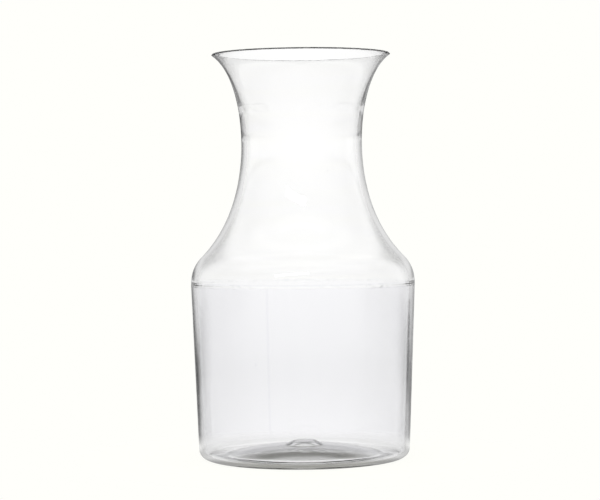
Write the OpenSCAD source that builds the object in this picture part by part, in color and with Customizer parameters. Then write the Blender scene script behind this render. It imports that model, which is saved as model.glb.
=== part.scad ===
// Clear moulded wine carafe: a drafted cup, a bell that makes the shoulder and
// neck, and a flared mouth collar, each lapped into the next and cemented.
// Every piece is turned about Z. Z = 0 is the table under the foot ring.

/* [Cup] */
// Outer diameter of the wall line where it would meet the table
base_d = 104.3; // [94:0.1:108]
// Outer diameter at the shoulder seam, the widest place
shoulder_d = 110.9; // [108.4:0.1:122]
// Height of the cup's outer edge, where the shoulder seam shows
cup_h = 85.6; // [60:0.1:120]
// Wall of the cup
cup_wall = 2.5; // [1.2:0.1:3]
// Thickness of the cup's floor
floor_t = 2; // [1.2:0.1:3]
// Outer rounding from the wall to the foot ring
heel_r = 5; // [3:0.1:8]
// Inner rounding from the wall to the floor
inner_heel_r = 3; // [1:0.1:6]
// Diameter of the push-up where it leaves the foot ring
pushup_d = 77.4; // [50:0.2:84]
// Rise of the push-up's underside at the centre
pushup_h = 5; // [2:0.1:10]
// Diameter of the round boss over the moulding gate, at its foot
boss_d = 19.5; // [12:0.5:30]
// Diameter of the boss at its flat top
boss_top_d = 10.5; // [6:0.5:11]
// Height of the boss above the floor, and of the gate well below it
boss_h = 1.7; // [0.4:0.1:2]

/* [Bell] */
// Height from the shoulder seam to the neck seam
bell_h = 88.8; // [70:0.1:120]
// Wall of the shoulder and neck
neck_wall = 2.6; // [1.2:0.1:3]
// Radius of the shoulder's rounded top
shoulder_r = 18; // [12:0.1:24]
// Lean of the shoulder from upright where its rounding ends
shoulder_angle = 44; // [34:1:52]
// Outer diameter of the waist
neck_d = 59.8; // [48:0.1:66]
// Height of the waist below the neck seam
waist_drop = 18.4; // [8:0.1:26]
// How long the neck's curve keeps the lean of the shoulder
neck_start = 5; // [2:0.5:12]
// How long the neck's curve keeps upright below the waist
neck_end = 36; // [20:0.5:44]

/* [Mouth collar] */
// Height from the neck seam to the rim
collar_h = 25.9; // [18:0.1:40]
// Outer diameter of the rim
mouth_d = 88.4; // [76:0.2:100]
// Lean of the flare from upright at the rim
flare_angle = 54; // [40:1:64]
// How long the flare keeps upright above the waist
flare_start = 17; // [8:0.5:22]
// How long the flare keeps the lean of the rim
flare_end = 12.7; // [6:0.1:16]
// Wall of the collar at the neck seam
collar_wall = 1.9; // [1.4:0.1:3]
// Wall at the rim, which ends square to the flare
rim_t = 0.9; // [0.8:0.1:2]
// Rounding of the rim's two edges
rim_edge = 0.2; // [0.1:0.05:0.35]

/* [Joints] */
// Height of the cup's tongue inside the bell
shoulder_lap = 1.4; // [0.8:0.1:4]
// Depth of the collar's spigot inside the neck
neck_lap = 2; // [1:0.1:5]
// Thickness of the cement in both laps
cement_t = 0.2; // [0.1:0.05:0.4]
// Size of the bevels that make the groove at the neck seam
seam_groove = 0.15; // [0.1:0.05:0.5]

/* [Hidden] */
$fn = 144;
arc_steps = 10;
curve_steps = 22;
lip_steps = 4;
clear_plastic = [0.88, 0.91, 0.94, 0.45];
clouded_cement = [0.80, 0.83, 0.86, 0.75];

// Heights, from the table up
shoulder_z = cup_h + cement_t + shoulder_lap;
neck_z = cup_h + bell_h;
collar_z = neck_z + cement_t;
spigot_z = collar_z - neck_lap;
socket_z = neck_z - neck_lap;
rim_z = neck_z + collar_h;
waist_z = neck_z - waist_drop;

// The cup's drafted wall and the joint at its top
shoulder_rad = shoulder_d / 2;
draft = atan((shoulder_d - base_d) / 2 / cup_h);
inner_base_r = base_d / 2 - cup_wall / cos(draft);
tongue_z = cup_h + shoulder_lap;
tongue_in_r = inner_base_r + tongue_z * tan(draft);
lap_r = shoulder_rad - min(cup_wall, neck_wall) / 2;
tongue_out_r = lap_r - cement_t / 2;
skirt_in_r = lap_r + cement_t / 2;

// The push-up's underside and the floor over it share one centre
pushup_r = pushup_d / 2;
dome_r = (pushup_r * pushup_r + pushup_h * pushup_h) / (2 * pushup_h);
dome_z = pushup_h - dome_r;
floor_dome_r = dome_r + floor_t;

// The gate well follows the boss under it, so that the floor keeps its thickness
boss_top_z = pushup_h + floor_t + boss_h;
boss_slope = atan2(boss_h, (boss_d - boss_top_d) / 2);
well_inset = floor_t * tan(boss_slope / 2);
well_r = boss_d / 2 - well_inset;
well_top_r = boss_top_d / 2 - well_inset;
well_top_z = boss_top_z - floor_t;

// The shoulder's arc, the neck's curve up to the waist and the flare's curve to the rim
arc_centre = [shoulder_rad - shoulder_r, shoulder_z];
arc_end = arc_centre + shoulder_r * [cos(shoulder_angle), sin(shoulder_angle)];
waist = [neck_d / 2, waist_z];
neck_curve = [
    arc_end,
    arc_end + neck_start * [-sin(shoulder_angle), cos(shoulder_angle)],
    waist - [0, neck_end],
    waist
];
lip_across = [-cos(flare_angle), sin(flare_angle)];
lip_flat = rim_t - 2 * rim_edge;
lip_out = [mouth_d / 2 - rim_edge, rim_z - rim_edge - lip_flat * lip_across[1]];
lip_in = lip_out + lip_flat * lip_across;
flare_top = lip_out - rim_edge * lip_across;
flare_curve = [
    waist,
    waist + [0, flare_start],
    flare_top - flare_end * [sin(flare_angle), cos(flare_angle)],
    flare_top
];

// The joint at the neck seam
neck_r = inset(flare_curve, reach(flare_curve, neck_z, 0), 0)[0];
groove_r = neck_r - seam_groove;
socket_rim_r = inset(flare_curve, reach(flare_curve, socket_z, 0), 0)[0];
spigot_r = socket_rim_r - min(neck_wall, collar_wall) / 2;
spigot_out_r = spigot_r - cement_t / 2;
socket_in_r = spigot_r + cement_t / 2;
bell_top = reach(flare_curve, neck_z - seam_groove, 0);
socket_end = reach(flare_curve, socket_z, neck_wall);
collar_low = reach(flare_curve, collar_z + seam_groove, 0);
spigot_end = reach(flare_curve, spigot_z, collar_wall);

// A point set in from a cubic curve by a depth, square to the curve
function cubic(p, t) =
    pow(1 - t, 3) * p[0] + 3 * pow(1 - t, 2) * t * p[1] + 3 * (1 - t) * t * t * p[2] + pow(t, 3) * p[3];
function heading(p, t) =
    pow(1 - t, 2) * (p[1] - p[0]) + 2 * (1 - t) * t * (p[2] - p[1]) + t * t * (p[3] - p[2]);
function inset(p, t, depth) =
    let (d = heading(p, t))
    cubic(p, t) + depth * [-d[1], d[0]] / norm(d);

// Where along a rising curve its inset point reaches a height, found by halving
function reach(p, height, depth, low = 0, high = 1, halvings = 40) =
    let (middle = (low + high) / 2)
    halvings == 0 ? middle
    : inset(p, middle, depth)[1] < height ? reach(p, height, depth, middle, high, halvings - 1)
    : reach(p, height, depth, low, middle, halvings - 1);

// Points along a stretch of a curve, from one place on it to another
function stretch(p, from, to, depth) =
    [for (i = [0:curve_steps]) inset(p, from + (to - from) * i / curve_steps, depth)];

// Points round an arc, from one angle to another
function arc(centre, radius, from, to, steps = arc_steps) =
    [for (i = [0:steps]) let (a = from + (to - from) * i / steps) centre + radius * [cos(a), sin(a)]];

// The rounding that touches the drafted wall and a level floor
function heel(wall_r, floor_z, radius, from, to) =
    let (z = floor_z + radius)
    arc([wall_r + z * tan(draft) - radius / cos(draft), z], radius, from, to);

// The collar's wall thins fast above the neck seam and is nearly even towards the rim
function collar_depth(t) =
    rim_t + (collar_wall - rim_t) * pow(min(1, (1 - t) / (1 - collar_low)), 3);
function collar_inside() =
    [for (i = [0:curve_steps])
        let (t = 1 + (spigot_end - 1) * i / curve_steps)
        inset(flare_curve, t, collar_depth(t))];

module cup() {
    pushup_half = asin(pushup_r / dome_r);
    floor_edge = acos((floor_t - dome_z) / floor_dome_r);
    boss_edge = asin(boss_d / 2 / floor_dome_r);
    well_edge = asin(well_r / dome_r);
    color(clear_plastic)
    rotate_extrude()
    polygon(concat(
        [[0, well_top_z], [well_top_r, well_top_z]],
        arc([0, dome_z], dome_r, 90 - well_edge, 90 - pushup_half),
        heel(base_d / 2, 0, heel_r, -90, -draft),
        [[shoulder_rad, cup_h], [tongue_out_r, cup_h]],
        [[tongue_out_r, tongue_z], [tongue_in_r, tongue_z]],
        heel(inner_base_r, floor_t, inner_heel_r, -draft, -90),
        arc([0, dome_z], floor_dome_r, 90 - floor_edge, 90 - boss_edge),
        [[boss_top_d / 2, boss_top_z], [0, boss_top_z]]
    ));
}

module shoulder_cement() {
    inner_r = max(shoulder_rad - neck_wall, tongue_in_r);
    color(clouded_cement)
    rotate_extrude()
    polygon([
        [shoulder_rad, cup_h], [shoulder_rad, cup_h + cement_t],
        [skirt_in_r, cup_h + cement_t], [skirt_in_r, shoulder_z],
        [inner_r, shoulder_z], [inner_r, tongue_z],
        [tongue_out_r, tongue_z], [tongue_out_r, cup_h]
    ]);
}

module neck_bell() {
    color(clear_plastic)
    rotate_extrude()
    polygon(concat(
        [[skirt_in_r, cup_h + cement_t], [shoulder_rad, cup_h + cement_t]],
        arc(arc_centre, shoulder_r, 0, shoulder_angle),
        stretch(neck_curve, 1 / curve_steps, 1, 0),
        stretch(flare_curve, 1 / curve_steps, bell_top, 0),
        [[groove_r, neck_z], [socket_in_r, neck_z], [socket_in_r, socket_z]],
        stretch(flare_curve, socket_end, 1 / curve_steps, neck_wall),
        stretch(neck_curve, 1, 1 / curve_steps, neck_wall),
        arc(arc_centre, shoulder_r - neck_wall, shoulder_angle, 0),
        [[skirt_in_r, shoulder_z]]
    ));
}

module neck_cement() {
    inner_r = max(
        inset(flare_curve, socket_end, neck_wall)[0],
        inset(flare_curve, spigot_end, collar_wall)[0]
    );
    color(clouded_cement)
    rotate_extrude()
    polygon([
        [groove_r, neck_z], [groove_r, collar_z],
        [spigot_out_r, collar_z], [spigot_out_r, spigot_z],
        [inner_r, spigot_z], [inner_r, socket_z],
        [socket_in_r, socket_z], [socket_in_r, neck_z]
    ]);
}

module mouth_collar() {
    lip_turn = 90 / (lip_steps + 1);
    color(clear_plastic)
    rotate_extrude()
    polygon(concat(
        [[spigot_out_r, collar_z], [groove_r, collar_z]],
        stretch(flare_curve, collar_low, 1, 0),
        arc(lip_out, rim_edge, lip_turn - flare_angle, 90 - flare_angle, lip_steps),
        arc(lip_in, rim_edge, 90 - flare_angle, 180 - lip_turn - flare_angle, lip_steps),
        collar_inside(),
        [[spigot_out_r, spigot_z]]
    ));
}

cup();
shoulder_cement();
neck_bell();
neck_cement();
mouth_collar();
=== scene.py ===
# %% [markdown]
# # A clear moulded carafe
#
# The carafe is three clear styrene mouldings, a cup, a neck bell and a mouth collar,
# lapped into each other and cemented at the shoulder and at the neck. This lesson turns
# each piece with Blender's spin tool, gives it the finish of polished clear plastic, and
# lights it so that its edges darken as they do in the photograph.
#
# The imported CAD model comes first. It is the frame that every piece has to fit, so it is loaded
# before anything is added.

# %% Load the frame
import math

import bpy
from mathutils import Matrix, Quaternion, Vector


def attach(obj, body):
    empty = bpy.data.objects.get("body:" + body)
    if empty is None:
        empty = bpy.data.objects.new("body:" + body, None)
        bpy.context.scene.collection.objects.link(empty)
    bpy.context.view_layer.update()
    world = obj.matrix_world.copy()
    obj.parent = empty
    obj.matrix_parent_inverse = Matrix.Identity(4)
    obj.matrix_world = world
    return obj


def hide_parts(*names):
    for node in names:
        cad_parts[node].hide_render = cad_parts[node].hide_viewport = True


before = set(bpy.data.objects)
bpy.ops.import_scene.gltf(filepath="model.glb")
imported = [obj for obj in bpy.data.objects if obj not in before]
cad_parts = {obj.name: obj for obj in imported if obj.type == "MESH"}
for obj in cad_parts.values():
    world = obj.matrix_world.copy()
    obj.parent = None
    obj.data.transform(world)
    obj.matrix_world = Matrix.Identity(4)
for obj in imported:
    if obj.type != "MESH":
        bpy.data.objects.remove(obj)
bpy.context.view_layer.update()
mm = 0.001

# %% [markdown]
# ## The camera
#
# The photograph was taken from about a metre away, at two thirds of the carafe's height:
# the rim is seen from slightly below and the base from above. The camera is aimed at a
# point on the axis and rolled a little about its own line of sight, because the carafe
# leans by half a degree in the picture.

# %% Camera
aim_height = 102.97 * mm
camera_distance = 1003.95 * mm
camera_elevation = math.radians(1.396)
camera_roll = math.radians(-0.564)
sensor_width = 36.0
picture_width = 600
focal_pixels = 2023.0
centre_offset_pixels = 2.62
height_offset_pixels = 0.15

bpy.ops.object.select_all(action="DESELECT")
bpy.ops.object.camera_add()
camera = bpy.context.object
camera.name = "photo_camera"
camera.data.sensor_width = sensor_width
camera.data.lens = focal_pixels / picture_width * sensor_width
camera.data.shift_x = -centre_offset_pixels / picture_width
camera.data.shift_y = height_offset_pixels / picture_width
line_of_sight = Vector((0, math.cos(camera_elevation), -math.sin(camera_elevation)))
camera.location = Vector((0, 0, aim_height)) - camera_distance * line_of_sight
camera.rotation_mode = "QUATERNION"
level = line_of_sight.to_track_quat("-Z", "Y")
camera.rotation_quaternion = level @ Quaternion((0, 0, 1), camera_roll)
bpy.context.scene.camera = camera
print("camera at, mm:", [round(v / mm, 1) for v in camera.location])

# %% [markdown]
# ## Curves for the outlines
#
# Each moulding is round, so it is drawn once as an outline of radius and height and then
# spun. An outline is made of straight walls, arcs and two long cubic curves, one from the
# shoulder to the waist and one from the waist to the rim. These helpers give points on
# them; a wall's inner face is the same curve set in by the wall's thickness.

# %% Arcs, cubic curves and blunted corners
halvings = 40
guard_share = 2.5


def arc(centre, radius, start, end, steps):
    """Points round an arc between two angles in degrees."""
    angles = [math.radians(start + (end - start) * i / steps) for i in range(steps + 1)]
    return [centre + radius * Vector((math.cos(a), math.sin(a))) for a in angles]


def inset(curve, t, depth=0.0):
    """The point at t on a cubic curve, set in square to the curve by a depth."""
    a, b, c, d = curve
    u = 1 - t
    point = u**3 * a + 3 * u * u * t * b + 3 * u * t * t * c + t**3 * d
    heading = (u * u * (b - a) + 2 * u * t * (c - b) + t * t * (d - c)).normalized()
    return point + depth * Vector((-heading.y, heading.x))


def reach(curve, height, depth=0.0):
    """Where along a rising curve its inset point comes to a height, found by halving."""
    low, high = 0.0, 1.0
    for _ in range(halvings):
        middle = (low + high) / 2
        if inset(curve, middle, depth).y < height:
            low = middle
        else:
            high = middle
    return (low + high) / 2


def stretch(curve, start, end, steps, depth=0.0):
    """Points along part of a curve, set in by a depth."""
    return [inset(curve, start + (end - start) * i / steps, depth) for i in range(steps + 1)]


def blunt(before, corner, after, cut, steps=4):
    """Points that round a corner off, with a guard point on each side of the rounding.

    The guards keep the smooth shading of the corner from reaching into the flat walls."""
    guard = guard_share * cut
    back = (before - corner).normalized()
    ahead = (after - corner).normalized()
    start, end = corner + cut * back, corner + cut * ahead
    share = [i / steps for i in range(steps + 1)]
    rounding = [(1 - t) ** 2 * start + 2 * (1 - t) * t * corner + t * t * end for t in share]
    return [corner + guard * back] + rounding + [corner + guard * ahead]


def at(radius, height):
    """A point of an outline: radius from the axis and height above the table, in mm."""
    return Vector((radius, height))


print("a quarter arc has", len(arc(at(0, 0), 1, 0, 90, 8)), "points")

# %% [markdown]
# ## Turning an outline
#
# A potter's or moulder's round form is quickest in Blender as one line of vertices,
# extruded point by point, and then spun about the upright axis. The last ring lands on
# the first, and points on the axis land on each other, so doubles are merged and the
# normals are turned outward afterwards. Faces that meet at a shallow angle are shaded
# smooth, which clear plastic needs more than any other material: every facet would show.

# %% Spin helper
turn_steps = 256
smooth_angle = math.radians(32)
merge_distance = 0.002 * mm


def turn(name, outline, steps=turn_steps):
    """A closed piece, spun about Z from an outline in mm."""
    bpy.ops.object.select_all(action="DESELECT")
    bpy.ops.mesh.primitive_plane_add(size=mm)
    piece = bpy.context.object
    piece.name = name
    piece.data.name = name
    bpy.ops.object.mode_set(mode="EDIT")
    bpy.ops.mesh.select_all(action="SELECT")
    bpy.ops.mesh.merge(type="CENTER")
    bpy.ops.transform.translate(value=(outline[0].x * mm, 0, outline[0].y * mm))
    for here, there in zip(outline, outline[1:]):
        step = (there - here) * mm
        bpy.ops.mesh.extrude_vertices_move(TRANSFORM_OT_translate={"value": (step.x, 0, step.y)})
    bpy.ops.mesh.select_all(action="SELECT")
    bpy.ops.mesh.spin(steps=steps, angle=2 * math.pi, center=(0, 0, 0), axis=(0, 0, 1))
    bpy.ops.mesh.select_all(action="SELECT")
    bpy.ops.mesh.remove_doubles(threshold=merge_distance)
    bpy.ops.mesh.normals_make_consistent(inside=False)
    bpy.ops.object.mode_set(mode="OBJECT")
    bpy.ops.object.shade_smooth_by_angle(angle=smooth_angle)
    print(name, "has", len(piece.data.vertices), "vertices from", len(outline), "points")
    return piece


# %% [markdown]
# ## The cup
#
# The cup is the injection-moulded lower body. Its wall leans out by about two degrees so
# that it leaves the mould, its heel is rounded, and its floor is pushed up so that it
# stands on a ring. The small round boss in the middle of the floor is where the plastic
# was injected: the gate sits in a shallow well below it, clear of the table, and the floor
# keeps its thickness over the well. At the top the wall is stepped: a tongue stands up
# inside the bell.
#
# It could be a thin shell with a Solidify modifier, but its wall, heel, floor and boss all
# have their own thickness. So it is one closed outline that starts and ends on the axis:
# well, underside, heel, outer wall, step, inner wall, floor and boss.

# %% Cup sizes
base_r = 104.3 / 2
shoulder_r = 110.9 / 2
cup_h = 85.6
cup_wall = 2.5
floor_t = 2.0
heel_r = 5.0
inner_heel_r = 3.0
pushup_r = 77.4 / 2
pushup_h = 5.0
boss_r = 19.5 / 2
boss_top_r = 10.5 / 2
boss_h = 1.7
neck_wall = 2.6
shoulder_lap = 1.4
cement_t = 0.2
edge_cut = 0.006
foot_cut = 0.03
boss_cut = 0.25
bead_low = 0.6

draft = math.atan((shoulder_r - base_r) / cup_h)
inner_base_r = base_r - cup_wall / math.cos(draft)
tongue_z = cup_h + shoulder_lap
tongue_in_r = inner_base_r + tongue_z * math.tan(draft)
lap_r = shoulder_r - min(cup_wall, neck_wall) / 2
tongue_out_r = lap_r - cement_t / 2
skirt_in_r = lap_r + cement_t / 2
shoulder_z = tongue_z + cement_t
print("draft, degrees:", round(math.degrees(draft), 2), "tongue to z", tongue_z)

# %% Cup outline
dome_r = (pushup_r**2 + pushup_h**2) / (2 * pushup_h)
dome_centre = at(0, pushup_h - dome_r)
floor_dome_r = dome_r + floor_t
boss_top = pushup_h + floor_t + boss_h
boss_slope = math.atan2(boss_h, boss_r - boss_top_r)
well_inset = floor_t * math.tan(boss_slope / 2)
well_r = boss_r - well_inset
well_top_r = boss_top_r - well_inset
well_top = boss_top - floor_t
wall_steps = 30
heel_steps = 20
wall_guard = 0.3
dome_steps = 24
degrees_draft = math.degrees(draft)


def heel(wall_r, floor_z, radius, start, end):
    """The rounding that touches the drafted wall and a level floor."""
    z = floor_z + radius
    r = wall_r + z * math.tan(draft) - radius / math.cos(draft)
    return arc(at(r, z), radius, start, end, heel_steps)


def wall(start, end):
    """Points up or down a straight wall, without its two ends, close together near them."""
    along = (end - start).normalized()
    first, last = start + wall_guard * along, end - wall_guard * along
    return [first.lerp(last, i / wall_steps) for i in range(wall_steps + 1)]


pushup_half = math.degrees(math.asin(pushup_r / dome_r))
floor_edge = math.degrees(math.acos((floor_t - dome_centre.y) / floor_dome_r))
boss_edge = math.degrees(math.asin(boss_r / floor_dome_r))
well_edge = math.degrees(math.asin(well_r / dome_r))
well_centre = at(0, well_top)
well_rim = at(well_top_r, well_top)
underside = arc(dome_centre, dome_r, 90 - well_edge, 90 - pushup_half, dome_steps)
foot_edge = blunt(underside[-2], at(pushup_r, 0), at(base_r, 0), foot_cut)
outer_heel = heel(base_r, 0, heel_r, -90, -degrees_draft)
cup_edge = at(shoulder_r, cup_h)
inner_heel = heel(inner_base_r, floor_t, inner_heel_r, -degrees_draft, -90)
tongue_foot = at(tongue_out_r, cup_h)
tongue_out = at(tongue_out_r, tongue_z)
tongue_in = at(tongue_in_r, tongue_z)
bead_foot = tongue_in + bead_low * (inner_heel[0] - tongue_in).normalized()
floor_top = arc(dome_centre, floor_dome_r, 90 - floor_edge, 90 - boss_edge, dome_steps)
boss_rim = at(boss_top_r, boss_top)
boss_centre = at(0, boss_top)
cup_outline = (
    [well_centre]
    + blunt(well_centre, well_rim, underside[0], boss_cut)
    + blunt(well_rim, underside[0], underside[1], boss_cut)
    + underside[1:-1]
    + foot_edge
    + outer_heel
    + wall(outer_heel[-1], cup_edge)
    + blunt(outer_heel[-1], cup_edge, tongue_foot, edge_cut)
    + [tongue_foot]
    + blunt(tongue_foot, tongue_out, tongue_in, edge_cut)
    + [tongue_in, bead_foot]
    + wall(bead_foot, inner_heel[0])
    + inner_heel
    + floor_top[1:-1]
    + blunt(floor_top[-2], floor_top[-1], boss_rim, boss_cut)
    + blunt(floor_top[-1], boss_rim, boss_centre, boss_cut)
    + [boss_centre]
)
cup = turn("clear_cup", cup_outline)

# %% [markdown]
# ## The neck bell
#
# The bell carries the shoulder over into the neck. Its outline is a skirt, an arc, and two
# cubic curves that meet at the waist, where both stand upright. Its inner face is the same
# line set in by the wall. The top is a socket that takes the collar's spigot, with a small
# bevel that makes half of the groove at the neck seam.
#
# A tube with scaled rings could give this form too, but its wall would grow thinner where
# it leans. Setting the curve in square to itself keeps the wall even all the way up.

# %% Bell sizes
bell_h = 88.8
shoulder_round = 18.0
shoulder_lean = 44.0
waist_r = 59.8 / 2
waist_drop = 18.4
neck_start = 5.0
neck_end = 36.0
collar_h = 25.9
mouth_r = 88.4 / 2
flare_lean = 54.0
flare_start = 17.0
flare_end = 12.7
collar_wall = 1.9
rim_t = 0.9
rim_edge = 0.2
neck_lap = 2.0
seam_groove = 0.015

neck_z = cup_h + bell_h
collar_z = neck_z + cement_t
spigot_z = collar_z - neck_lap
socket_z = neck_z - neck_lap
rim_z = neck_z + collar_h
waist = at(waist_r, neck_z - waist_drop)
print("seams at z", cup_h, "and", neck_z, "rim at", rim_z)

# %% Shoulder, neck and flare curves
def leaning(angle):
    """The heading of a wall that leans in from upright by an angle in degrees."""
    return at(-math.sin(math.radians(angle)), math.cos(math.radians(angle)))


arc_centre = at(shoulder_r - shoulder_round, shoulder_z)
shoulder_steps = 20
neck_steps = 44
outer_shoulder = arc(arc_centre, shoulder_round, 0, shoulder_lean, shoulder_steps)
inner_shoulder = arc(arc_centre, shoulder_round - neck_wall, shoulder_lean, 0, shoulder_steps)
neck_curve = [
    outer_shoulder[-1],
    outer_shoulder[-1] + neck_start * leaning(shoulder_lean),
    waist - at(0, neck_end),
    waist,
]
lip_across = at(-math.cos(math.radians(flare_lean)), math.sin(math.radians(flare_lean)))
lip_flat = rim_t - 2 * rim_edge
lip_out = at(mouth_r - rim_edge, rim_z - rim_edge - lip_flat * lip_across.y)
lip_in = lip_out + lip_flat * lip_across
flare_top = lip_out - rim_edge * lip_across
flare_curve = [
    waist,
    waist + at(0, flare_start),
    flare_top - flare_end * leaning(-flare_lean),
    flare_top,
]
neck_r = inset(flare_curve, reach(flare_curve, neck_z)).x
groove_r = neck_r - seam_groove
spigot_r = inset(flare_curve, reach(flare_curve, socket_z)).x - min(neck_wall, collar_wall) / 2
spigot_out_r = spigot_r - cement_t / 2
socket_in_r = spigot_r + cement_t / 2
print("waist radius", waist_r, "neck seam radius", round(neck_r, 2))

# %% Bell outline
flare_steps = 14
bell_top = reach(flare_curve, neck_z - seam_groove)
socket_end = reach(flare_curve, socket_z, collar_wall)
spigot_end = reach(flare_curve, spigot_z, collar_wall)
neck_film_in = inset(flare_curve, spigot_end, collar_wall).x


def bell_inside(t):
    """The inner face of the neck's flare: it thins upwards to meet the spigot without a ledge."""
    share = t / socket_end
    eased = share * share * (3 - 2 * share)
    return inset(flare_curve, t, neck_wall + (collar_wall - neck_wall) * eased)


neck_places = [socket_end * (1 - i / flare_steps) for i in range(flare_steps)]
skirt_foot_in = at(skirt_in_r, cup_h + cement_t)
skirt_foot = at(shoulder_r, cup_h + cement_t)
bell_outline = (
    [skirt_foot_in]
    + blunt(skirt_foot_in, skirt_foot, outer_shoulder[0], edge_cut)
    + outer_shoulder
    + stretch(neck_curve, 1 / neck_steps, 1, neck_steps - 1)
    + stretch(flare_curve, bell_top / flare_steps, bell_top, flare_steps - 1)
    + [at(groove_r, neck_z), at(socket_in_r, neck_z), at(socket_in_r, socket_z)]
    + [at(neck_film_in, socket_z)]
    + [bell_inside(t) for t in neck_places]
    + stretch(neck_curve, 1, 0, neck_steps, neck_wall)
    + inner_shoulder[1:]
    + [at(skirt_in_r, shoulder_z), skirt_foot_in]
)
bell = turn("clear_neck_bell", bell_outline)

# %% [markdown]
# ## The mouth collar
#
# The collar flares out from the neck seam to the rim and thins on the way up. The rim ends
# square to the flare, with its two edges just taken off, and the spigot below the seam
# stands inside the bell's socket. It is spun from the upper part of the same flare curve,
# so that its outside runs on from the bell's without a step.

# %% Collar outline
collar_steps = 40
lip_steps = 8
collar_low = reach(flare_curve, collar_z + seam_groove)


def collar_inside(t):
    """The collar's inner face: its wall thins fast above the neck seam, then is nearly even."""
    left = min(1.0, (1 - t) / (1 - collar_low))
    return inset(flare_curve, t, rim_t + (collar_wall - rim_t) * left**3)


inner_places = [1 + (spigot_end - 1) * i / collar_steps for i in range(collar_steps + 1)]
collar_outline = (
    [at(spigot_out_r, collar_z), at(groove_r, collar_z)]
    + stretch(flare_curve, collar_low, 1, collar_steps)
    + arc(lip_out, rim_edge, -flare_lean, 90 - flare_lean, lip_steps)[1:]
    + arc(lip_in, rim_edge, 90 - flare_lean, 180 - flare_lean, lip_steps)[:-1]
    + [collar_inside(t) for t in inner_places]
    + [at(spigot_out_r, spigot_z), at(spigot_out_r, collar_z)]
)
collar = turn("clear_mouth_collar", collar_outline)

# %% [markdown]
# The rim was trimmed by hand, and its edge rises and falls by a tenth of a millimetre. A
# Displace modifier with a clouds texture lowers the rim's vertices, so the piece stays
# inside its box.

# %% Uneven rim and bead helper
cloud_depth = 2


def roughen(piece, name, is_moved, wave, height, direction):
    """Moves the vertices that a test picks by a clouds texture of a wavelength, in mm."""
    group = piece.vertex_groups.new(name=name)
    for vertex in piece.data.vertices:
        x, y, z = vertex.co / mm
        weight = is_moved(math.hypot(x, y), z)
        if weight > 0:
            group.add([vertex.index], weight, "REPLACE")
    clouds = bpy.data.textures.new(name, "CLOUDS")
    clouds.noise_scale = wave * mm
    clouds.noise_depth = cloud_depth
    bpy.ops.object.select_all(action="DESELECT")
    piece.select_set(True)
    bpy.context.view_layer.objects.active = piece
    bpy.ops.object.modifier_add(type="DISPLACE")
    uneven = piece.modifiers[-1]
    uneven.texture = clouds
    uneven.vertex_group = name
    uneven.direction = direction
    uneven.mid_level = 0.0
    uneven.strength = height * mm
    bpy.ops.object.modifier_apply(modifier=uneven.name)
    print(piece.name, "is uneven at", name)


rim_wave = 3.5
rim_fall = 0.12
lip_height = 0.9


def on_lip(radius, z):
    """How far a vertex follows the rim's unevenness: fully at the edge, not at all below it."""
    return max(0.0, min(1.0, (z - rim_z + lip_height) / (lip_height - rim_edge)))


roughen(collar, "trimmed_rim", on_lip, rim_wave, -rim_fall, "Z")

# %% [markdown]
# ## The cement in the laps
#
# Solvent cement fills both laps. At the shoulder it was squeezed out: a bead of uneven
# width stands on the inside, and on the outside the film stops short of the surface in
# places, which leaves a fine broken line. Each film is spun like the mouldings, a hair
# thinner than its gap, and a Displace modifier with a clouds texture makes the bead and
# the outer edge uneven.

# %% Shoulder cement
hair = 0.01
bead_bulge = 0.06
bead_steps = 8
edge_recess = 0.005
cement_steps = 512
film_low = cup_h + hair
film_high = cup_h + cement_t - hair
film_in = tongue_out_r + hair
film_out = skirt_in_r - hair
bead_head = inner_shoulder[-2]
skirt_in = inner_shoulder[-1]
off_wall = at(-hair, 0)
bead_middle = (bead_foot + bead_head) / 2 - at(2 * bead_bulge, 0)


def bead_point(t):
    """A point of the bead's free face, which swells from its foot to its head."""
    u = 1 - t
    return u * u * bead_foot + 2 * u * t * bead_middle + t * t * bead_head + 2 * off_wall


bead_face = [bead_point(i / bead_steps) for i in range(bead_steps + 1)]
shoulder_film = (
    bead_face
    + [bead_head + off_wall, skirt_in + off_wall - at(0, hair)]
    + [at(film_out, shoulder_z - hair), at(film_out, film_high)]
    + [at(shoulder_r - edge_recess, film_high), at(shoulder_r - edge_recess, film_low)]
    + [at(film_in, film_low), at(film_in, tongue_z + hair)]
    + [tongue_in + off_wall + at(0, hair), bead_foot + off_wall, bead_face[0]]
)
shoulder_cement = turn("shoulder_cement_film", shoulder_film, cement_steps)
bead_wave = 2.2
bead_swell = 0.14
bead_spread = 0.8
bead_half = (bead_head.y - bead_foot.y) / 2
bead_z = (bead_head.y + bead_foot.y) / 2


def on_bead(radius, z):
    """How far a vertex of the free face swells: most in the middle of the bead."""
    if radius > tongue_in_r + hair / 2:
        return 0.0
    return max(0.0, 1 - abs(z - bead_z) / (bead_spread * bead_half))


roughen(shoulder_cement, "squeezed_bead", on_bead, bead_wave, bead_swell, "NORMAL")

# %% [markdown]
# At the neck the film is thinner and was wiped off outside, so it has no bead: a plain
# outline is enough, set a few thousandths of a millimetre inside its gap.

# %% Neck cement
fine_hair = 0.004
neck_film = [
    at(groove_r - fine_hair, neck_z + fine_hair),
    at(groove_r - fine_hair, collar_z - fine_hair),
    at(spigot_out_r + hair, collar_z - fine_hair),
    at(spigot_out_r + hair, spigot_z - hair),
    at(neck_film_in, spigot_z - hair),
    at(neck_film_in, socket_z + hair),
    at(socket_in_r - hair, socket_z + hair),
    at(socket_in_r - hair, neck_z + fine_hair),
    at(groove_r - fine_hair, neck_z + fine_hair),
]
neck_cement = turn("neck_cement_film", neck_film, cement_steps)

# %% [markdown]
# ## Clear styrene
#
# Moulded polystyrene is clear and hard, with an index of refraction of 1.59 and a polished
# mould surface. What the eye gets is mostly what lies behind it, bent at the edges. A bare
# glass shader would be too perfect to look moulded, so faint faults are added to it.
#
# Four small helpers come first: one turns a hex colour to a linear one, one adds a node,
# one starts a material, and one lays a ramp of greys over a value.

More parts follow.
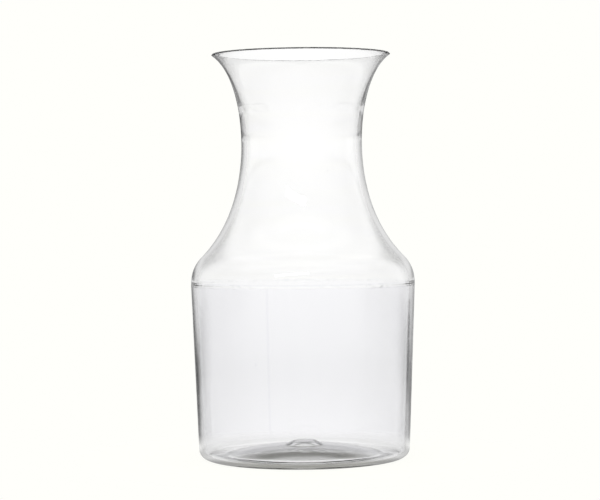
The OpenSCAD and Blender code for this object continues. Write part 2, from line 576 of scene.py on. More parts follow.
# %% Colour and node helpers
def linear(hex_colour):
    """A linear RGBA colour from an sRGB hex value."""
    parts = [int(hex_colour[i : i + 2], 16) / 255 for i in (1, 3, 5)]
    return [c / 12.92 if c <= 0.04045 else ((c + 0.055) / 1.055) ** 2.4 for c in parts] + [1.0]


def add_node(tree, kind, inputs=None, **settings):
    """Adds a node, sets its options, and fills its inputs with values or links."""
    made = tree.nodes.new(kind)
    for name, value in settings.items():
        setattr(made, name, value)
    for name, value in (inputs or {}).items():
        if isinstance(value, bpy.types.NodeSocket):
            tree.links.new(value, made.inputs[name])
        else:
            made.inputs[name].default_value = value
    return made


def new_material(name):
    """A material with an empty node tree and its output node."""
    made = bpy.data.materials.new(name)
    made.use_nodes = True
    made.node_tree.nodes.clear()
    output = add_node(made.node_tree, "ShaderNodeOutputMaterial")
    return made, made.node_tree, output


def stepped(tree, value, stops):
    """A ramp of greys over a value, from stops of value and level."""
    low, high = stops[0][0], stops[-1][0]
    share = add_node(
        tree, "ShaderNodeMapRange", {"Value": value, "From Min": low, "From Max": high}
    ).outputs["Result"]
    made = add_node(tree, "ShaderNodeValToRGB", {"Fac": share})
    ramp = made.color_ramp
    while len(ramp.elements) < len(stops):
        ramp.elements.new(0.5)
    for element, (place_on, level_there) in zip(ramp.elements, stops):
        element.position = (place_on - low) / (high - low)
        element.color = (level_there, level_there, level_there, 1)
    return made.outputs["Color"]


print("linear mid grey:", [round(c, 3) for c in linear("#808080")])

# %% [markdown]
# Dust among the pellets shows as a few dark specks in the wall. They could be tiny meshes,
# but a Voronoi texture gives one to a cell and keeps them apart, as real ones are. Its
# distance is counted in cells, so the speck's radius is a share of the spacing.

# %% Specks
speck_spacing = 26 * mm
speck_radius = 0.016
speck_core = 0.5 * speck_radius
speck_tint = "#B4B6BA"


def specks_in(tree, place, clear):
    """A tint with a few small specks of dust in it."""
    to_speck = add_node(
        tree, "ShaderNodeTexVoronoi", {"Vector": place, "Scale": 1 / speck_spacing}
    ).outputs["Distance"]
    share = add_node(
        tree,
        "ShaderNodeMapRange",
        {"Value": to_speck, "From Min": speck_core, "From Max": speck_radius},
    ).outputs["Result"]
    return add_node(
        tree, "ShaderNodeMix", {0: share, 6: linear(speck_tint), 7: clear}, data_type="RGBA"
    ).outputs[2]


print("specks, mm across:", round(2 * speck_radius * speck_spacing / mm, 2))

# %% [markdown]
# A knit line is a fine upright ridge where two flows of plastic met in the mould. It is a
# few hundredths of a millimetre high, far below the mesh, so it is a bump at one angle
# round the axis. It fades out towards the floor, where the flows met while still hot.

# %% Knit line
knit_angle = math.radians(-18.2)
knit_half = math.radians(0.9)
knit_height = 0.04 * mm
knit_foot = 12 * mm
knit_full = 20 * mm
knit_tint = "#F9F9FB"


def knit_line(tree, place):
    """How far a place is on the knit line, from 0 to 1."""
    sides = add_node(tree, "ShaderNodeSeparateXYZ", {0: place}).outputs
    front = add_node(
        tree, "ShaderNodeMath", {0: sides["Y"], 1: -1.0}, operation="MULTIPLY"
    ).outputs[0]
    turn_to = add_node(
        tree, "ShaderNodeMath", {0: sides["X"], 1: front}, operation="ARCTAN2"
    ).outputs[0]
    off_line = add_node(
        tree, "ShaderNodeMath", {0: turn_to, 1: knit_angle}, operation="SUBTRACT"
    ).outputs[0]
    apart = add_node(tree, "ShaderNodeMath", {0: off_line}, operation="ABSOLUTE").outputs[0]
    ridge = add_node(
        tree,
        "ShaderNodeMapRange",
        {"Value": apart, "From Max": knit_half, "To Min": 1.0, "To Max": 0.0},
        interpolation_type="SMOOTHSTEP",
    ).outputs["Result"]
    on_wall = add_node(
        tree,
        "ShaderNodeMapRange",
        {"Value": sides["Z"], "From Min": knit_foot, "From Max": knit_full},
    ).outputs["Result"]
    return add_node(
        tree, "ShaderNodeMath", {0: ridge, 1: on_wall}, operation="MULTIPLY"
    ).outputs[0]


print("knit line, mm wide:", round(2 * knit_half * base_r, 2))

# %% [markdown]
# The mould leaves a long shallow ripple and slight haze, and the flow of the plastic leaves
# faint streaks, down the cup and round the neck. The ripple is a bump, the haze goes to the
# roughness, and the streaks tint the colour that the plastic lets through.

# %% Clear styrene
styrene_ior = 1.59
ripple_width = 9 * mm
ripple_height = 0.02 * mm
haze_width = 30 * mm
haze_from = 0.45
haze_to = 0.75
haze_most = 0.02
streak_from = 0.35
streak_to = 0.7


def styrene(name, clear_tint, streak_tint, streak_scale, painted_wall_shade, knit):
    """Clear moulded styrene with a shallow ripple, faint streaks, specks and a knit line.

    The painted wall shade gives stops of height in mm and the share of light let through there: it
    is painted shade, darker where the share is lower."""
    made, tree, output = new_material(name)
    place = add_node(tree, "ShaderNodeTexCoord").outputs["Object"]
    ripple = add_node(
        tree, "ShaderNodeTexNoise", {"Vector": place, "Scale": 1 / ripple_width, "Detail": 2.0}
    ).outputs["Fac"]
    surface = add_node(
        tree, "ShaderNodeBump", {"Height": ripple, "Strength": 1.0, "Distance": ripple_height}
    ).outputs["Normal"]
    haze = add_node(
        tree, "ShaderNodeTexNoise", {"Vector": place, "Scale": 1 / haze_width, "Detail": 4.0}
    ).outputs["Fac"]
    polish = add_node(
        tree,
        "ShaderNodeMapRange",
        {"Value": haze, "From Min": haze_from, "From Max": haze_to, "To Max": haze_most},
    ).outputs["Result"]
    drawn = add_node(
        tree, "ShaderNodeMapping", {"Vector": place, "Scale": streak_scale}
    ).outputs["Vector"]
    streaks = add_node(
        tree, "ShaderNodeTexNoise", {"Vector": drawn, "Scale": 1.0, "Detail": 3.0}
    ).outputs["Fac"]
    streak_share = add_node(
        tree,
        "ShaderNodeMapRange",
        {"Value": streaks, "From Min": streak_from, "From Max": streak_to},
    ).outputs["Result"]
    tint = add_node(
        tree,
        "ShaderNodeMix",
        {0: streak_share, 6: linear(clear_tint), 7: linear(streak_tint)},
        data_type="RGBA",
    ).outputs[2]
    if knit:
        on_line = knit_line(tree, place)
        ridge = {"Height": on_line, "Strength": 1.0, "Distance": knit_height, "Normal": surface}
        surface = add_node(tree, "ShaderNodeBump", ridge).outputs["Normal"]
        tint = add_node(
            tree, "ShaderNodeMix", {0: on_line, 6: tint, 7: linear(knit_tint)}, data_type="RGBA"
        ).outputs[2]
    # Painted shade by height: the tint is multiplied by the painted wall shade, so the wall is
    # darker where its stops are lower.
    height = add_node(tree, "ShaderNodeSeparateXYZ", {0: place}).outputs["Z"]
    height_mm = add_node(
        tree, "ShaderNodeMath", {0: height, 1: mm}, operation="DIVIDE"
    ).outputs[0]
    tint = add_node(
        tree,
        "ShaderNodeMix",
        {0: 1.0, 6: tint, 7: stepped(tree, height_mm, painted_wall_shade)},
        data_type="RGBA",
        blend_type="MULTIPLY",
    ).outputs[2]
    shader = add_node(
        tree,
        "ShaderNodeBsdfPrincipled",
        {
            "Base Color": specks_in(tree, place, tint),
            "Roughness": polish,
            "IOR": styrene_ior,
            "Transmission Weight": 1.0,
            "Normal": surface,
        },
    )
    tree.links.new(shader.outputs["BSDF"], output.inputs["Surface"])
    print(name, "has", len(tree.nodes), "nodes")
    return made


# %% [markdown]
# The cup is a slightly greyer batch than the neck. Over that, a painted shade darkens the cup's wall
# most at half its height and clears towards both ends, and a painted shade on the neck clears
# upwards from the shoulder. The same function makes both, with streaks four millimetres wide and
# sixty long, and a painted shade for each height.

# %% Styrene of the cup and of the neck
streak_wide = 1 / (4 * mm)
streak_long = 1 / (60 * mm)
down_the_wall = (streak_wide, streak_wide, streak_long)
round_the_neck = (streak_long, streak_long, streak_wide)
cup_painted_shade = (
    (0, 0.975), (10, 0.975), (17, 0.968), (29, 0.953), (44, 0.94), (58, 0.958), (70, 0.966),
    (80, 0.972), (86, 0.98),
)
neck_painted_shade = ((84, 0.98), (90, 0.982), (97, 0.99), (104, 0.997), (110, 1.0), (201, 1.0))
cup_styrene = styrene(
    "clear_moulded_styrene_cup", "#FDFDFE", "#FCFCFD", down_the_wall, cup_painted_shade, True
)
neck_styrene = styrene(
    "clear_moulded_styrene_neck", "#FEFEFE", "#FEFEFD", round_the_neck, neck_painted_shade, False
)

# %% [markdown]
# ## Bonded faces
#
# Inside a good solvent joint there is no air, so light crosses it as if the plastic went
# on. Three closed pieces that touch would show every hidden face as a mirror, so the faces
# of the laps get a see-through material. In patches the cement did not take: there a thin
# layer of air is left, and the face shines a little.

# %% Bonded faces
patch_width = 2.4 * mm
patch_from = 0.56
patch_to = 0.66
patch_haze = 0.05


def bonded(name, open_most):
    """A lap's bonded face: see-through, with patches where the cement did not take."""
    made, tree, output = new_material(name)
    place = add_node(tree, "ShaderNodeTexCoord").outputs["Object"]
    patches = add_node(
        tree, "ShaderNodeTexNoise", {"Vector": place, "Scale": 1 / patch_width, "Detail": 3.0}
    ).outputs["Fac"]
    open_share = add_node(
        tree,
        "ShaderNodeMapRange",
        {"Value": patches, "From Min": patch_from, "From Max": patch_to, "To Max": open_most},
    ).outputs["Result"]
    bond = add_node(tree, "ShaderNodeBsdfTransparent").outputs["BSDF"]
    open_face = add_node(
        tree,
        "ShaderNodeBsdfPrincipled",
        {"Roughness": patch_haze, "IOR": styrene_ior, "Transmission Weight": 1.0},
    ).outputs["BSDF"]
    lap = add_node(tree, "ShaderNodeMixShader", {0: open_share, 1: bond, 2: open_face})
    tree.links.new(lap.outputs[0], output.inputs["Surface"])
    print(name, "is open over at most", open_most)
    return made


shoulder_bond = bonded("bonded_shoulder_lap", 0.1)
neck_bond = bonded("bonded_neck_lap", 0.05)

# %% [markdown]
# ## The trimmed rim
#
# The rim's end face is where the mould closed or a blade trimmed it, so it is not polished:
# short frosted lengths alternate with clear ones. One noise drives both the grey of the
# frost and its roughness, so that they stay together.

# %% Trimmed rim
frost_length = 4 * mm
frost_from = 0.44
frost_to = 0.54
clear_haze = 0.02
frosted_haze = 0.4
rim_frost, tree, output = new_material("trimmed_frosted_rim")
place = add_node(tree, "ShaderNodeTexCoord").outputs["Object"]
lengths = add_node(
    tree, "ShaderNodeTexNoise", {"Vector": place, "Scale": 1 / frost_length, "Detail": 3.0}
).outputs["Fac"]
frost = add_node(
    tree, "ShaderNodeMapRange", {"Value": lengths, "From Min": frost_from, "From Max": frost_to}
).outputs["Result"]
frost_tint = add_node(
    tree,
    "ShaderNodeMix",
    {0: frost, 6: linear("#F4F5F6"), 7: linear("#5C5F63")},
    data_type="RGBA",
).outputs[2]
frost_haze = add_node(
    tree, "ShaderNodeMapRange", {"Value": frost, "To Min": clear_haze, "To Max": frosted_haze}
).outputs["Result"]
frost_shader = add_node(
    tree,
    "ShaderNodeBsdfPrincipled",
    {
        "Base Color": frost_tint,
        "Roughness": frost_haze,
        "IOR": styrene_ior,
        "Transmission Weight": 1.0,
    },
)
tree.links.new(frost_shader.outputs["BSDF"], output.inputs["Surface"])
print(rim_frost.name, "has", len(tree.nodes), "nodes")

# %% [markdown]
# ## Solvent cement
#
# Solvent cement is styrene dissolved and set again, so it is nearly as clear as the walls,
# with a little less refraction. It sets with cloudy places and small trapped bubbles, which
# are a tint, a roughness and a shallow bump here, because the film is too thin for meshes.

# %% Cement
cement_ior = 1.55
cloud_width = 1.6 * mm
cloud_from = 0.45
cloud_to = 0.7
dull_from = 0.4
dull_to = 0.8
dull_most = 0.12
bubble_spacing = 0.8 * mm
bubble_height = 0.02 * mm
bubble_strength = 0.3
cement_clear, tree, output = new_material("clouded_solvent_cement")
place = add_node(tree, "ShaderNodeTexCoord").outputs["Object"]
clouds = add_node(
    tree, "ShaderNodeTexNoise", {"Vector": place, "Scale": 1 / cloud_width, "Detail": 4.0}
).outputs["Fac"]
cloud_share = add_node(
    tree, "ShaderNodeMapRange", {"Value": clouds, "From Min": cloud_from, "From Max": cloud_to}
).outputs["Result"]
cement_tint = add_node(
    tree,
    "ShaderNodeMix",
    {0: cloud_share, 6: linear("#FCFCFD"), 7: linear("#EFF1F3")},
    data_type="RGBA",
).outputs[2]
cement_haze = add_node(
    tree,
    "ShaderNodeMapRange",
    {"Value": clouds, "From Min": dull_from, "From Max": dull_to, "To Max": dull_most},
).outputs["Result"]
bubbles = add_node(
    tree, "ShaderNodeTexVoronoi", {"Vector": place, "Scale": 1 / bubble_spacing}
).outputs["Distance"]
bubble_bump = add_node(
    tree,
    "ShaderNodeBump",
    {"Height": bubbles, "Strength": bubble_strength, "Distance": bubble_height},
).outputs["Normal"]
cement_shader = add_node(
    tree,
    "ShaderNodeBsdfPrincipled",
    {
        "Base Color": cement_tint,
        "Roughness": cement_haze,
        "IOR": cement_ior,
        "Transmission Weight": 1.0,
        "Normal": bubble_bump,
    },
)
tree.links.new(cement_shader.outputs["BSDF"], output.inputs["Surface"])
print(cement_clear.name, "has", len(tree.nodes), "nodes")

# %% [markdown]
# ## Which faces get which finish
#
# A face is picked by where it is and how it leans: the lap faces are bonded, the rim's end
# face is frosted, and the rest is clear. Picking by place keeps working when a size of the
# outline changes, which a list of face numbers would not.

# %% Give out the materials
def finish_piece(piece, clear, laps, node):
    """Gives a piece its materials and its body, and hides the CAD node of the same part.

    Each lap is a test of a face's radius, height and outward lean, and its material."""
    piece.data.materials.append(clear)
    for _, bond in laps:
        piece.data.materials.append(bond)
    count = 0
    for face in piece.data.polygons:
        x, y, z = face.center
        radius = math.hypot(x, y)
        lean = (face.normal.x * x + face.normal.y * y) / max(radius, mm)
        for index, (is_bonded, _) in enumerate(laps):
            if is_bonded(radius / mm, z / mm, lean):
                face.material_index = index + 1
                count += 1
    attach(piece, "root")
    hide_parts(node)
    print(piece.name, "has", count, "bonded or trimmed faces")


# %% [markdown]
# Each test below gets a face's radius and height in mm, and its lean: 1 where it looks
# straight out from the axis, 0 where it looks up or down, and -1 where it looks in.

# %% Lap tests and hand-out
near = 0.12
seam_reach = 1.5 * edge_cut
outer_lean = 0.5
end_lean = 0.3


def cup_lap(radius, z, lean):
    at_seam = z > cup_h - seam_reach and radius > tongue_out_r - hair
    at_tongue = z > bead_foot.y
    return at_seam or at_tongue


def bell_shoulder_lap(radius, z, lean):
    at_seam = z < cup_h + cement_t + seam_reach
    at_skirt = z < shoulder_z + hair and radius < skirt_in_r + near
    at_bead = z < bead_head.y and radius < skirt_in_r
    return at_seam or at_skirt or at_bead


def bell_neck_lap(radius, z, lean):
    at_socket = z > socket_z - hair and radius > neck_film_in and lean < outer_lean
    at_groove = z > neck_z - seam_groove
    return at_socket or at_groove


def collar_neck_lap(radius, z, lean):
    return z < collar_z + seam_groove and lean > -outer_lean


def trimmed_edge(radius, z, lean):
    """The rim's end face, which looks up and out between the flare's two faces."""
    on_top = z > lip_out.y - rim_edge - rim_fall
    return on_top and lean > end_lean and radius > lip_in.x


def shoulder_film_lap(radius, z, lean):
    at_edge = radius > shoulder_r - edge_recess - hair / 2
    at_bead = lean < 0 and radius < tongue_in_r + hair
    return not (at_edge or at_bead)


def neck_film_lap(radius, z, lean):
    return neck_film_in + hair < radius < groove_r - 2 * fine_hair


bell_laps = [(bell_shoulder_lap, shoulder_bond), (bell_neck_lap, neck_bond)]
collar_laps = [(collar_neck_lap, neck_bond), (trimmed_edge, rim_frost)]
shoulder_laps = [(shoulder_film_lap, shoulder_bond)]
neck_laps = [(neck_film_lap, neck_bond)]
finish_piece(cup, cup_styrene, [(cup_lap, shoulder_bond)], "cup")
finish_piece(bell, neck_styrene, bell_laps, "neck_bell")
finish_piece(collar, neck_styrene, collar_laps, "mouth_collar")
finish_piece(shoulder_cement, cement_clear, shoulder_laps, "shoulder_cement")
finish_piece(neck_cement, neck_styrene, neck_laps, "neck_cement")

# %% [markdown]
# ## The floor
#
# The floor is a sheet of white paper. A small disc is enough, because it fades into the
# white background before its edge. It lies a hair below the foot ring, so that the two
# faces don't flicker in the same place.

# %% Floor disc
floor_radius = 0.12
floor_sides = 96
floor_gap = 0.03 * mm
bpy.ops.object.select_all(action="DESELECT")
bpy.ops.mesh.primitive_circle_add(vertices=floor_sides, radius=floor_radius, fill_type="NGON")
floor = bpy.context.object
floor.name = "studio_floor"
bpy.ops.object.mode_set(mode="EDIT")
bpy.ops.mesh.select_all(action="SELECT")
bpy.ops.transform.translate(value=(0, 0, -floor_gap))
bpy.ops.object.mode_set(mode="OBJECT")
print("floor disc, mm across:", 2 * floor_radius / mm)

# %% [markdown]
# Clear plastic shows its surroundings, so the floor has one level for the camera, one seen straight
# through the plastic, and one seen in a reflection. The mirrored level is painted light and shade:
# paler behind, and a painted dark line of shade where the foot stands in front. The stops are in mm
# from the axis, or behind it.

# %% What the plastic mirrors of the floor
no_bounce = 0.5
white_paper, tree, output = new_material("white_paper_floor")
path = add_node(tree, "ShaderNodeLightPath").outputs
place = add_node(tree, "ShaderNodeTexCoord").outputs["Object"]
distance = add_node(
    tree, "ShaderNodeVectorMath", {0: place}, operation="LENGTH"
).outputs["Value"]
straight = add_node(
    tree, "ShaderNodeMath", {0: path["Glossy Depth"], 1: no_bounce}, operation="LESS_THAN"
).outputs[0]
sides = add_node(tree, "ShaderNodeSeparateXYZ", {0: place}).outputs
out_mm = add_node(tree, "ShaderNodeMath", {0: distance, 1: mm}, operation="DIVIDE").outputs[0]
behind_mm = add_node(
    tree, "ShaderNodeMath", {0: sides["Y"], 1: mm}, operation="DIVIDE"
).outputs[0]
# Painted light and shade that the plastic mirrors: paler behind, and a painted dark line of shade at
# the foot in front.
painted_light_behind = stepped(
    tree, behind_mm, ((-40, 0.55), (20, 0.6), (35, 0.85), (50, 0.9), (65, 0.75), (120, 0.7))
)
painted_foot_shade_stops = (
    (0, 0.6), (28, 0.6), (35, 1.1), (44, 0.9), (46.5, 0.4), (48.5, 0.33), (50.5, 0.5),
    (53, 0.75), (60, 0.7), (75, 0.45), (120, 0.4),
)
mirrored_front = stepped(tree, out_mm, painted_foot_shade_stops)
at_front = stepped(tree, behind_mm, ((-40, 1.0), (-20, 1.0), (0, 0.0), (20, 0.0)))
painted_floor_in_mirrors = add_node(
    tree, "ShaderNodeMix", {0: at_front, 2: painted_light_behind, 3: mirrored_front}, data_type="FLOAT"
).outputs[0]
print(white_paper.name, "has", len(tree.nodes), "nodes so far")

# %% [markdown]
# Under the push-up little light reaches the paper, so it is shaded there: a soft round
# patch, and a narrow dark line where the foot ring stands, at the front. A real shadow
# would need light bent through the plastic, which takes far more samples than a render
# has, so the shade is drawn by the distance from the axis.

# %% The shade under the base
push_up_stops = (
    (0, 0.28), (18, 0.28), (23, 0.45), (27, 0.75), (32, 1.05), (39, 1.3), (46, 1.25), (60, 1.0),
    (120, 1.0),
)
foot_ring_stops = (
    (0, 1.0), (41, 1.0), (42.5, 0.85), (44, 0.5), (46.5, 0.3), (50, 0.25), (54, 0.3), (60, 1.0),
)
foot_front_stops = (
    (-60, 1.0), (-42, 1.0), (-34, 0.55), (-20, 0.05), (0, 0.0), (15, 0.0), (60, 0.0),
)
push_up_shade = stepped(tree, out_mm, push_up_stops)
foot_ring_shade = stepped(tree, out_mm, foot_ring_stops)
foot_front = stepped(tree, behind_mm, foot_front_stops)
foot_shade = add_node(
    tree, "ShaderNodeMix", {0: foot_front, 2: 1.0, 3: foot_ring_shade}, data_type="FLOAT"
).outputs[0]
under = add_node(
    tree, "ShaderNodeMath", {0: push_up_shade, 1: foot_shade}, operation="MULTIPLY"
).outputs[0]
shade_tint = add_node(
    tree, "ShaderNodeMix", {0: under, 6: linear("#F6F5E8"), 7: linear("#FFFFFD")}, data_type="RGBA"
).outputs[2]
print("shade under the push-up:", push_up_stops[0][1])

# %% [markdown]
# The paper is mostly a glow, so that it is white to the camera at any light, with a little
# diffuse paper for the shadow. Light that the paper scatters sees the diffuse paper alone,
# and beyond 75 mm from the axis it fades into the background.

# %% White paper
paper_white = 1.01
glow_share = 0.95
seen_level = add_node(
    tree, "ShaderNodeMix", {0: straight, 2: painted_floor_in_mirrors, 3: under}, data_type="FLOAT"
).outputs[0]
floor_level = add_node(
    tree,
    "ShaderNodeMix",
    {0: path["Is Camera Ray"], 2: seen_level, 3: paper_white},
    data_type="FLOAT",
).outputs[0]
paper_tint = add_node(
    tree,
    "ShaderNodeMix",
    {0: path["Is Camera Ray"], 6: shade_tint, 7: linear("#FFFFFA")},
    data_type="RGBA",
).outputs[2]
glow = add_node(
    tree, "ShaderNodeEmission", {"Color": paper_tint, "Strength": floor_level}
).outputs[0]
paper = add_node(tree, "ShaderNodeBsdfDiffuse", {"Color": linear("#F4F4F2")}).outputs[0]
shown = add_node(tree, "ShaderNodeMixShader", {0: glow_share, 1: paper, 2: glow}).outputs[0]
plain = add_node(
    tree, "ShaderNodeMixShader", {0: path["Is Diffuse Ray"], 1: shown, 2: paper}
).outputs[0]
fade = stepped(tree, out_mm, ((0, 0.0), (75, 0.0), (118, 1.0), (120, 1.0)))
open_air = add_node(tree, "ShaderNodeBsdfTransparent").outputs[0]
faded = add_node(tree, "ShaderNodeMixShader", {0: fade, 1: plain, 2: open_air})
tree.links.new(faded.outputs[0], output.inputs["Surface"])
floor.data.materials.append(white_paper)
print(white_paper.name, "has", len(tree.nodes), "nodes")

# %% [markdown]
# ## The studio
#
# The background is white to the camera and through the plastic. In reflections the plastic
# shows a photographer's studio instead: a grey room, white cards, and dark flags beside the
# white background that draw the dark edges of the carafe. All of it is painted on the world
# by elevation and azimuth, in degrees, because cards as meshes would show in other views.
# Azimuth 0 is straight behind the carafe as the photograph sees it.

# %% Directions
world = bpy.data.worlds.new("white_studio")
bpy.context.scene.world = world
world.use_nodes = True
tree = world.node_tree
tree.nodes.clear()
output = add_node(tree, "ShaderNodeOutputWorld")
path = add_node(tree, "ShaderNodeLightPath").outputs
way = add_node(tree, "ShaderNodeTexCoord").outputs["Generated"]
parts = add_node(tree, "ShaderNodeSeparateXYZ", {0: way}).outputs
rise = add_node(tree, "ShaderNodeMath", {0: parts["Z"]}, operation="ARCSINE").outputs[0]
elevation = add_node(tree, "ShaderNodeMath", {0: rise}, operation="DEGREES").outputs[0]
turned = add_node(
    tree, "ShaderNodeMath", {0: parts["X"], 1: parts["Y"]}, operation="ARCTAN2"
).outputs[0]
azimuth = add_node(tree, "ShaderNodeMath", {0: turned}, operation="DEGREES").outputs[0]
off_axis = add_node(tree, "ShaderNodeMath", {0: azimuth}, operation="ABSOLUTE").outputs[0]
print(world.name, "reads elevation and azimuth")

# %% [markdown]
# The room is bright at the height of the table and grey above and below. It has three
# parts, near the background, at the sides and in front, which blend by azimuth.

# %% Room
near_room_stops = (
    (-90, 0.42), (-15, 0.42), (-11, 0.5), (-9, 0.68), (-7.2, 0.7), (-5.8, 0.42), (-4.6, 0.7),
    (-3, 0.72), (0, 0.78), (8, 0.8), (13, 0.78), (16, 0.66), (19, 0.6), (23, 0.52), (32, 0.5),
    (90, 0.5),
)
side_room_stops = (
    (-90, 0.42), (-15, 0.42), (-9, 0.55), (-7.4, 0.55), (-6.6, 0.3), (-5.8, 0.16), (-5, 0.18),
    (-4.2, 0.5), (-3, 0.76), (0, 0.92), (12, 0.92), (25, 0.85), (90, 0.85),
)
near_room = stepped(tree, elevation, near_room_stops)
side_room = stepped(tree, elevation, side_room_stops)
front_room = stepped(tree, elevation, ((-90, 0.35), (-30, 0.4), (0, 0.85), (90, 0.85)))
to_side = stepped(tree, off_axis, ((0, 0.0), (42, 0.0), (50, 1.0), (180, 1.0)))
to_front = stepped(tree, off_axis, ((0, 0.0), (110, 0.0), (130, 1.0), (180, 1.0)))
behind = add_node(
    tree, "ShaderNodeMix", {0: to_side, 6: near_room, 7: side_room}, data_type="RGBA"
).outputs[2]
room = add_node(
    tree, "ShaderNodeMix", {0: to_front, 6: behind, 7: front_room}, data_type="RGBA"
).outputs[2]
room_levels = [grey for _, grey in near_room_stops + side_room_stops]
print("room levels from", min(room_levels), "to", max(room_levels))

# %% [markdown]
# White cards stand at 45 degrees on both sides of the background, and a narrow dark strip
# hangs at the right one's inner edge. It gives the thin dark line inside the cup's right
# outline.

# %% Cards and strip
card_stops = (
    (-180, 0.9), (-140, 0.8), (-90, 0.68), (-75, 0.7), (-60, 1.0), (-45, 1.1), (-33, 0.97),
    (0, 0.95), (33, 1.0), (43, 1.15), (60, 1.1), (75, 0.8), (90, 0.7), (140, 0.85), (180, 0.9),
)
strip_stops = ((28, 1.0), (30, 1.0), (32, 0.15), (36, 0.15), (39, 1.0), (42, 1.0))
strip_share_stops = (
    (-9, 0.3), (-7, 0.5), (-6, 0.95), (-4.6, 1.0), (-4.1, 0.5), (-3.7, 0.1), (30, 0.12),
)
cards = stepped(tree, azimuth, card_stops)
strip = stepped(tree, azimuth, strip_stops)
strip_share = stepped(tree, elevation, strip_share_stops)
carded = add_node(
    tree, "ShaderNodeMix", {0: 1.0, 6: room, 7: cards}, data_type="RGBA", blend_type="MULTIPLY"
).outputs[2]
print("cards at", len(card_stops), "azimuths, strip at", len(strip_stops))

# %% [markdown]
# The flags are dark cards close beside the background. A wall that is seen edge on mirrors
# a place only a few degrees off the line of sight, so their width and level at each
# elevation set the dark line along each outline. Their reach is in hundreds of degrees,
# which keeps it within a ramp.

# %% Flags
ramp_degrees = 100.0
flag_edge = 0.1
flag_reach_stops = (
    (-30, 0.2), (-10, 0.19), (-7, 0.22), (-5.8, 0.24), (-4.6, 0.2), (-3.6, 0.18), (-2.6, 0.14),
    (-2, 0.08), (-1.2, 0.03), (-0.8, 0.12), (-0.3, 0.2), (4, 0.2), (8, 0.18), (12, 0.0),
)
left_stops = (
    (-30, 0.3), (-10, 0.25), (-8.8, 0.3), (-8.2, 0.5), (-7.6, 0.5), (-6.8, 0.3), (-5.8, 0.2),
    (-4.6, 0.2), (-3, 0.22), (-2, 0.6), (-1.2, 0.9), (-0.7, 0.5), (0, 0.25), (1.2, 0.2),
    (2.5, 0.25), (4, 0.5), (5.5, 0.8), (8, 0.95), (11, 1.0),
)
right_stops = (
    (-30, 0.45), (-10, 0.4), (-8.8, 0.45), (-8.2, 0.65), (-7.6, 0.65), (-6.8, 0.5), (-5.8, 0.52),
    (-4.6, 0.55), (-3, 0.5), (-2, 0.8), (-1.2, 0.95), (-0.7, 0.6), (0, 0.45), (1.2, 0.5),
    (2.5, 0.55), (4, 0.75), (6, 0.95), (8, 1.0), (12, 1.0),
)
flag_reach = stepped(tree, elevation, flag_reach_stops)
left_level = stepped(tree, elevation, left_stops)
right_level = stepped(tree, elevation, right_stops)
hundreds = add_node(
    tree, "ShaderNodeMath", {0: off_axis, 1: ramp_degrees}, operation="DIVIDE"
).outputs[0]
past_flag = add_node(
    tree, "ShaderNodeMath", {0: hundreds, 1: flag_reach}, operation="SUBTRACT"
).outputs[0]
is_right = add_node(
    tree, "ShaderNodeMath", {0: azimuth, 1: 0.0}, operation="GREATER_THAN"
).outputs[0]
flag_dark = add_node(
    tree, "ShaderNodeMix", {0: is_right, 2: left_level, 3: right_level}, data_type="FLOAT"
).outputs[0]
side_flags = add_node(
    tree,
    "ShaderNodeMapRange",
    {"Value": past_flag, "From Min": 0.0, "From Max": flag_edge, "To Min": flag_dark, "To Max": 1.0},
).outputs["Result"]
print("widest flag, degrees:", ramp_degrees * max(reach_at for _, reach_at in flag_reach_stops))

# %% [markdown]
# Straight behind the carafe the flags leave a bright middle card, which the floor of the
# cup mirrors round the boss. Above it is a dark gap up to 28 degrees, and then the lit edge
# of the ceiling: the front of the push-up leans back and mirrors them as the dark ellipse
# and the light band in front of it.

# %% Middle card and dark gap
middle_stops = (
    (-9, 1.0), (-7, 1.1), (-5.8, 1.6), (-4.6, 1.1), (3, 1.1), (7, 1.0), (11, 0.7),
)
gap_top = 28
gap_stops = (
    (12, 0.8), (16, 0.7), (19, 0.12), (25.5, 0.1), (gap_top, 0.6), (30.5, 2.6), (38, 2.6),
    (45, 1.0),
)
middle_wide = ((0, 1.0), (6, 1.0), (9, 0.0), (12, 0.0))
middle_high = ((-10, 0.0), (-8.5, 1.0), (45, 1.0))
gap_wide = ((0, 1.0), (16, 1.0), (20, 0.0), (24, 0.0))
gap_high = ((11, 0.0), (14, 1.0), (45, 1.0))
flags = side_flags
for stops, wide, high in (
    (middle_stops, middle_wide, middle_high),
    (gap_stops, gap_wide, gap_high),
):
    card = stepped(tree, elevation, stops)
    within = stepped(tree, off_axis, wide)
    between = stepped(tree, elevation, high)
    here = add_node(
        tree, "ShaderNodeMath", {0: within, 1: between}, operation="MULTIPLY"
    ).outputs[0]
    flags = add_node(
        tree, "ShaderNodeMix", {0: here, 2: flags, 3: card}, data_type="FLOAT"
    ).outputs[0]
print("middle card up to", middle_stops[-1][0], "degrees, gap up to", gap_top)

# %% [markdown]
# The room, the cards, the flags and the strip are multiplied. A ray that has met no mirror
# sees the white background instead. It is a little brighter than white through the plastic,
# because each wall takes some of it away, and just white to the camera.

# %% Backdrop
backdrop_level = 1.105
flagged = add_node(
    tree, "ShaderNodeMix", {0: 1.0, 6: carded, 7: flags}, data_type="RGBA", blend_type="MULTIPLY"
).outputs[2]
reflected = add_node(
    tree,
    "ShaderNodeMix",
    {0: strip_share, 6: flagged, 7: strip},
    data_type="RGBA",
    blend_type="MULTIPLY",
).outputs[2]
straight = add_node(
    tree, "ShaderNodeMath", {0: path["Glossy Depth"], 1: no_bounce}, operation="LESS_THAN"
).outputs[0]
backdrop = [backdrop_level * c for c in linear("#FFFFFF")]
seen = add_node(
    tree, "ShaderNodeMix", {0: straight, 6: reflected, 7: backdrop}, data_type="RGBA"
).outputs[2]
shown = add_node(
    tree,
    "ShaderNodeMix",
    {0: path["Is Camera Ray"], 6: seen, 7: linear("#FFFFFB")},
    data_type="RGBA",
).outputs[2]
background = add_node(tree, "ShaderNodeBackground", {"Color": shown, "Strength": 1.0})
tree.links.new(background.outputs[0], output.inputs["Surface"])
print(world.name, "has", len(tree.nodes), "nodes")

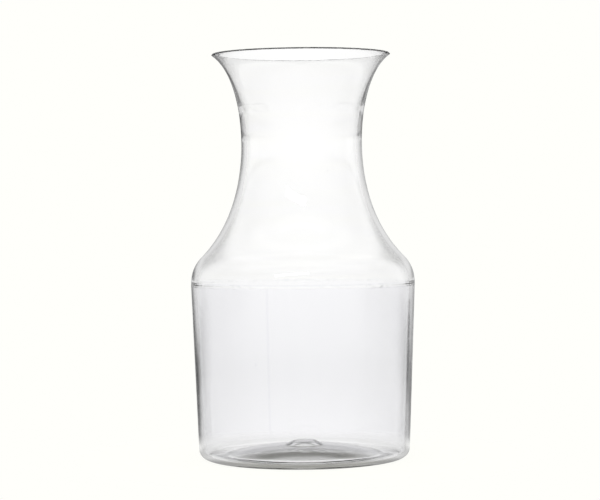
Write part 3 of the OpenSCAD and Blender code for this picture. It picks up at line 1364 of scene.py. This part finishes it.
# %% [markdown]
# ## The softbox
#
# One softbox in front and to the left leaves the soft highlight on the shoulder. It is a
# long narrow area lamp, rolled a little, as the highlight in the photograph is. Its light
# counts only before a ray enters the plastic, so it makes one highlight and not a second
# one on each inner face.

# %% Softbox
softbox_reach = 1.1
softbox_elevation = math.radians(33)
softbox_azimuth = math.radians(-12)
softbox_roll = math.radians(15)
softbox_aim = Vector((0, 0, 0.1))
softbox_long = 0.62
softbox_wide = 0.11
softbox_watts = 2.4
bpy.ops.object.select_all(action="DESELECT")
bpy.ops.object.light_add(type="AREA")
softbox = bpy.context.object
softbox.name = "softbox"
softbox.data.shape = "RECTANGLE"
softbox.data.size = softbox_long
softbox.data.size_y = softbox_wide
softbox.data.energy = softbox_watts
way_back = Vector((
    math.sin(softbox_azimuth) * math.cos(softbox_elevation),
    -math.cos(softbox_azimuth) * math.cos(softbox_elevation),
    math.sin(softbox_elevation),
))
softbox.location = softbox_aim + softbox_reach * way_back
facing = (-way_back).to_track_quat("-Z", "Y")
softbox.rotation_mode = "QUATERNION"
softbox.rotation_quaternion = facing @ Quaternion((0, 0, 1), softbox_roll)
softbox.data.use_nodes = True
tree = softbox.data.node_tree
tree.nodes.clear()
output = add_node(tree, "ShaderNodeOutputLight")
path = add_node(tree, "ShaderNodeLightPath").outputs
outside = add_node(
    tree, "ShaderNodeMath", {0: path["Transmission Depth"], 1: no_bounce}, operation="LESS_THAN"
).outputs[0]
lit = add_node(tree, "ShaderNodeEmission", {"Strength": outside})
tree.links.new(lit.outputs[0], output.inputs["Surface"])
print("softbox at, mm:", [round(v / mm) for v in softbox.location])

# %% [markdown]
# ## View and bounces
#
# The Standard view shows colours as they are written. A ray crosses up to a dozen faces of
# clear plastic before it reaches the background, so the bounce limits are raised, or the
# walls would end in black.

# %% View settings
surface_bounces = 32
all_bounces = 40
see_through_bounces = 48
scene = bpy.context.scene
scene.view_settings.view_transform = "Standard"
scene.cycles.max_bounces = all_bounces
scene.cycles.glossy_bounces = surface_bounces
scene.cycles.transmission_bounces = surface_bounces
scene.cycles.transparent_max_bounces = see_through_bounces
print("view transform:", scene.view_settings.view_transform)
